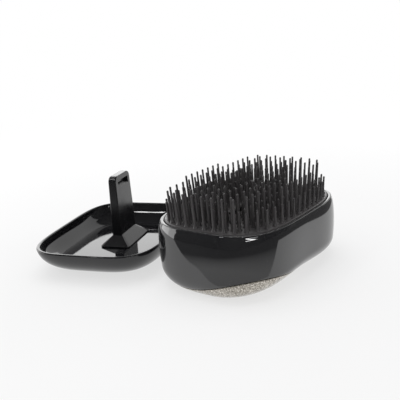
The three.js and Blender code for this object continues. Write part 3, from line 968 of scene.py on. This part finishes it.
# %% [markdown]
# ## Glitter
#
# The back panel is champagne glitter under a clear coat. Noise alone would look like dirty
# metal. A Voronoi texture gives small cells instead, and each cell is one flake with a tint
# and a tilt of its own, so some flakes flash and others stay dark.

# %% Glitter
CHAMPAGNE = (0.5, 0.46, 0.4)
FLAKE = 0.42 * MM
FLAKE_TILT = 0.55
DARKEST_FLAKE = (0.17, 0.15, 0.125, 1)
LIGHTEST_FLAKE = (0.8, 0.76, 0.69, 1)
MIDDLE_FLAKES = ((0.35, (0.36, 0.33, 0.275, 1)), (0.7, (0.47, 0.435, 0.38, 1)))

glitter = Finish("champagne_glitter", CHAMPAGNE, 0.3, Metallic=0.55, Coat_Weight=1.0,
                 Coat_Roughness=0.05)
flakes = glitter.node("TexVoronoi", Vector=glitter.place, Scale=1 / FLAKE)
chance = glitter.node("SeparateXYZ", i0=flakes.outputs["Color"])
tints = glitter.node("ValToRGB", Fac=chance.outputs["X"])
ramp = tints.color_ramp
ramp.elements[0].color = DARKEST_FLAKE
ramp.elements[1].color = LIGHTEST_FLAKE
for position, color in MIDDLE_FLAKES:
    ramp.elements.new(position).color = color
glitter.link(tints.outputs["Color"], "Base Color")
centred = glitter.node("VectorMath", {"operation": "SUBTRACT"}, i0=flakes.outputs["Color"],
                       i1=(0.5, 0.5, 0.5))
tilt = glitter.node("VectorMath", {"operation": "SCALE"}, i0=centred.outputs["Vector"],
                    Scale=FLAKE_TILT)
face = glitter.node("NewGeometry").outputs["Normal"]
tipped = glitter.node("VectorMath", {"operation": "ADD"}, i0=face, i1=tilt.outputs["Vector"])
flat = glitter.node("VectorMath", {"operation": "NORMALIZE"}, i0=tipped.outputs["Vector"])
glitter.link(flat.outputs["Vector"], "Normal")
glitter.dress(back_panel)

# %% [markdown]
# ## The floor
#
# The object lies on a sheet of pale paper. A plain diffuse floor would turn grey towards the
# horizon. So for the rays that show the paper, part of its white is a glow of its own: less
# near the brush, where the shadow has to stay, and all of it far away, where it meets the
# white world.

# %% Stage helpers


def clear_tree(owner):
    """The emptied node tree of a material or a world."""
    owner.use_nodes = True
    owner.node_tree.nodes.clear()
    return owner.node_tree


def seen_directly(tree):
    """1 where the camera, a mirror or glass looks, and 0 for the light on the object."""
    path = add_node(tree, "LightPath").outputs
    seen = add_node(tree, "Math", {"operation": "MAXIMUM"}, i0=path["Is Camera Ray"],
                    i1=path["Is Glossy Ray"])
    through = add_node(tree, "Math", {"operation": "MAXIMUM"}, i0=seen.outputs["Value"],
                       i1=path["Is Transmission Ray"])
    return through.outputs["Value"]


def stage_piece(bm, name, material):
    """Makes an object that the brush only stands on or mirrors."""
    mesh = make_mesh(bm, name)
    mesh.materials.append(material)
    piece = add_object(name, mesh)
    piece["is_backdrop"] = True
    print(f"{name}: {len(mesh.polygons)} faces")
    return piece


# %% Floor
FLOOR_SIZE = 3.0
FLOOR_DROP = 0.02 * MM
PAPER_WHITE = (0.85, 0.85, 0.85425, 1)
FADE_START = 0.12
FADE_END = 0.6
LEAST_WHITE = 0.7
NEAR_GLOW = 0.93
GLOW_END = 0.3

paper = bpy.data.materials.new("pale_paper")
tree = clear_tree(paper)
diffuse = add_node(tree, "BsdfDiffuse", Color=PAPER_WHITE)
distance = add_node(tree, "VectorMath", {"operation": "LENGTH"},
                    i0=add_node(tree, "TexCoord").outputs["Object"])
fade = add_node(tree, "MapRange", {"interpolation_type": "SMOOTHSTEP"},
                Value=distance.outputs["Value"], From_Min=FADE_START, From_Max=FADE_END,
                To_Min=LEAST_WHITE)
# The glow is a little weaker near the brush, which paints a faint shade on the paper round
# it.
glow = add_node(tree, "MapRange", Value=distance.outputs["Value"], From_Min=FADE_START,
                From_Max=GLOW_END, To_Min=NEAR_GLOW)
white = add_node(tree, "Emission", Strength=glow.outputs["Result"])
share = add_node(tree, "Math", {"operation": "MULTIPLY"}, i0=fade.outputs["Result"],
                 i1=seen_directly(tree))
blend = add_node(tree, "MixShader", Fac=share.outputs["Value"], i1=diffuse.outputs["BSDF"],
                 i2=white.outputs["Emission"])
add_node(tree, "OutputMaterial", Surface=blend.outputs["Shader"])

bm = bmesh.new()
bmesh.ops.create_grid(bm, x_segments=1, y_segments=1, size=FLOOR_SIZE)
bmesh.ops.translate(bm, vec=(0, 0, -FLOOR_DROP), verts=bm.verts)
floor = stage_piece(bm, "floor", paper)

# %% [markdown]
# ## World and lamps
#
# The light is soft and even, as in a light tent. A picture of a studio could light it, but
# the scene reads no files, so a plain world gives the even part and area lamps the rest. A
# glossy black thing shows only its surroundings, so it also counts which lamps it mirrors:
# light from behind and from the left, and two small lamps that leave the bright marks.

# %% World
AMBIENT = 0.7
WHITE = (1, 1, 1, 1)

world = bpy.data.worlds.new("studio")
bpy.context.scene.world = world
tree = clear_tree(world)
seen_white = add_node(tree, "Background", Color=WHITE, Strength=1.0)
ambient = add_node(tree, "Background", Color=WHITE, Strength=AMBIENT)
blend = add_node(tree, "MixShader", Fac=seen_directly(tree), i1=ambient.outputs["Background"],
                 i2=seen_white.outputs["Background"])
add_node(tree, "OutputWorld", Surface=blend.outputs["Shader"])
print("nodes in the world:", len(tree.nodes))

# %% Lamps
BRUSH = Vector((0, 0.03, 0.02))


def softbox(name, place, width, height, radiance, mirrored=True):
    """An area lamp that points at the brush. Radiance 1 is as bright as white paper."""
    lamp = bpy.data.lights.new(name, "AREA")
    lamp.shape = "RECTANGLE"
    lamp.size, lamp.size_y = width, height
    lamp.energy = radiance * pi * width * height
    holder = add_object(name, lamp)
    look = (BRUSH - Vector(place)).to_track_quat("-Z", "Y")
    holder.matrix_world = Matrix.Translation(place) @ look.to_matrix().to_4x4()
    holder.visible_camera = False
    holder.visible_glossy = mirrored
    print(f"{name}: {lamp.energy:.2f} W at", [round(c, 2) for c in place])


def around(azimuth, elevation, distance):
    """A place seen from the brush in this direction, in degrees."""
    level = distance * cos(radians(elevation))
    return Vector((level * cos(radians(azimuth)), level * sin(radians(azimuth)),
                   distance * sin(radians(elevation))))


softbox("top_light", (0.05, 0.15, 0.9), width=0.8, height=0.8, radiance=1.6, mirrored=False)
softbox("back_light", around(48, 17, 0.9), width=1.0, height=0.4, radiance=1.6)
softbox("left_light", around(112, 8, 0.8), width=0.6, height=0.3, radiance=2.2)
softbox("right_light", around(-38, 8, 0.8), width=0.6, height=0.3, radiance=3.0,
        mirrored=False)
softbox("small_lamp", (-0.5, 0.245, 0.595), width=0.06, height=0.08, radiance=18)
softbox("low_lamp", around(-122, 22, 0.55), width=0.3, height=0.025, radiance=11)

# %% [markdown]
# ## The dim room
#
# The white paper ends just in front of the picture, and beyond it are a dark table, the
# dark room behind the camera, its side walls and its ceiling. A real dark card would do too,
# but it would also shade the brush. Only reflections see these faces, so they leave the
# light and the shadows as they are. The paper fades into the table over a few centimetres.

# %% Shape of the room
TABLE_START = 0.05
SIDE_TABLE_START = 0.13
ROOM_DISTANCE = 0.62
ROOM_HALF_WIDTH = 0.9
LEFT_REACH = 0.12
RIGHT_REACH = 0.45
CEILING = 0.95

toward_camera = Vector((-LINE_OF_SIGHT.x, -LINE_OF_SIGHT.y, 0)).normalized()
across = Vector((-toward_camera.y, toward_camera.x, 0))


def room_corner(forward, side, height):
    return toward_camera * forward + across * side + Vector((0, 0, height))


def face_across(start, end):
    """A face between two lines across the view, each given as (forward, height)."""
    return [(line[0], side * ROOM_HALF_WIDTH, line[1])
            for line, side in ((start, -1), (start, 1), (end, 1), (end, -1))]


def side_wall(side, reach):
    """A side wall, from the room's far wall to a reach behind the brush."""
    return [(forward, side * ROOM_HALF_WIDTH, height) for forward, height in
            ((ROOM_DISTANCE, 0), (-reach, 0), (-reach, CEILING), (ROOM_DISTANCE, CEILING))]


room_faces = [
    face_across((TABLE_START, 0), (ROOM_DISTANCE, 0)),
    face_across((ROOM_DISTANCE, 0), (ROOM_DISTANCE, CEILING)),
    face_across((ROOM_DISTANCE, CEILING), (-ROOM_DISTANCE, CEILING)),
    side_wall(-1, LEFT_REACH),
    side_wall(1, RIGHT_REACH),
    [(TABLE_START, SIDE_TABLE_START, 0), (TABLE_START, ROOM_HALF_WIDTH, 0),
     (-RIGHT_REACH, ROOM_HALF_WIDTH, 0), (-RIGHT_REACH, SIDE_TABLE_START, 0)],
]
print("faces of the room:", len(room_faces))

# %% Dim room
TABLE_FADE = 0.065
FADE_CENTRE = (-0.04, 0, 0)
TABLE_GREY = 0.6
ROOM_GREY = 0.1

dim = Finish("dim_room", (ROOM_GREY, ROOM_GREY, ROOM_GREY), 0.9)
away = dim.node("VectorMath", {"operation": "DISTANCE"}, i0=dim.place, i1=FADE_CENTRE)
darker = dim.node("MapRange", Value=away.outputs["Value"], From_Min=TABLE_START,
                  From_Max=TABLE_START + TABLE_FADE, To_Min=TABLE_GREY, To_Max=ROOM_GREY)
dim.link(darker.outputs["Result"], "Base Color")

bm = bmesh.new()
for corners in room_faces:
    bm.faces.new([bm.verts.new(room_corner(*corner)) for corner in corners])
room = stage_piece(bm, "dim_room", dim.material)
room.visible_camera = False
room.visible_diffuse = False
room.visible_shadow = False

# %% [markdown]
# ## Last settings
#
# The view transform stays plain, and the two boxes are printed: the measured one and the
# dressed one. The dressed object has to stay inside the measured one.

# %% Last settings
bpy.context.scene.view_settings.view_transform = "Standard"
bpy.context.view_layer.update()
visual_box = [list(corner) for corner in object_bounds()]
print("measured box, mm:", [in_mm(corner) for corner in cad_box])
print("dressed box, mm:", [in_mm(corner) for corner in visual_box])
